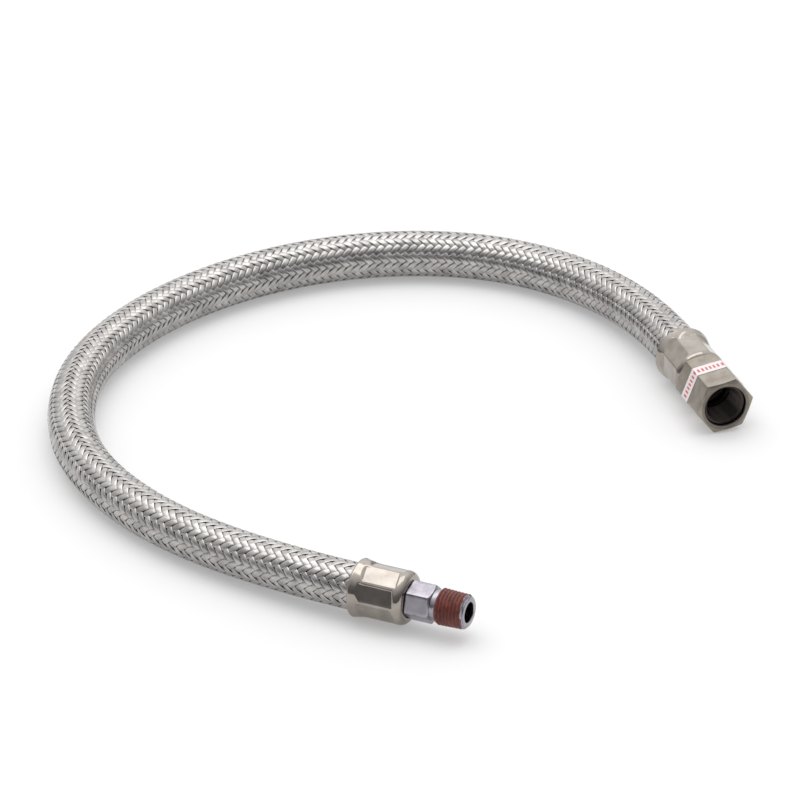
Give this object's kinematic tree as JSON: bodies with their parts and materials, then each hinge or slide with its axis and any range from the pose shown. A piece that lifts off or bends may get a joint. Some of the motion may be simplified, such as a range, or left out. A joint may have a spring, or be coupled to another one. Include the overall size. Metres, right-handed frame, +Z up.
{
  "type": "propane regulator hose",
  "caption": "Steel-braided gas hose lying in an open loop, with crimped ferrules, a tapered male pipe thread on one end and a swivel flare nut on the other.",
  "frame": {"origin": "on the floor under the hose, halfway between the outer limits of the two end fittings", "axes": "+Z up from the floor that the hose rests on; -Y points out of the swivel nut's mouth, along its axis; +X points from the male end's side of the loop towards the swivel end's side"},
  "size_m": [0.2684, 0.3083, 0.0228],
  "materials": {
    "zinc_steel": "bright zinc plate",
    "nickel_ferrule": "polished nickel plate, slightly warm",
    "nitrile_liner": "smooth",
    "textile_yarn": "braided yarn",
    "black_rubber_cover": "matt",
    "stainless_braid": "bright braided wire",
    "satin_steel": "satin plated",
    "printed_label": "printed film"
  },
  "bodies": {
    "hose_with_stems": {"male_stem": "zinc_steel", "male_ferrule": "nickel_ferrule", "hose_liner": "nitrile_liner", "hose_reinforcement": "textile_yarn", "hose_cover": "black_rubber_cover", "steel_overbraid": "stainless_braid", "swivel_ferrule": "nickel_ferrule", "swivel_stem": "satin_steel"},
    "loose_nut": {"swivel_nut": "satin_steel", "nut_label": "printed_label"}
  },
  "joints": [
    {"name": "nut_spin", "type": "hinge", "parent": "hose_with_stems", "child": "loose_nut", "pos_m": [0.089, 0.0513, 0.0114], "axis": [0, -1, 0], "continuous": true}
  ]
}
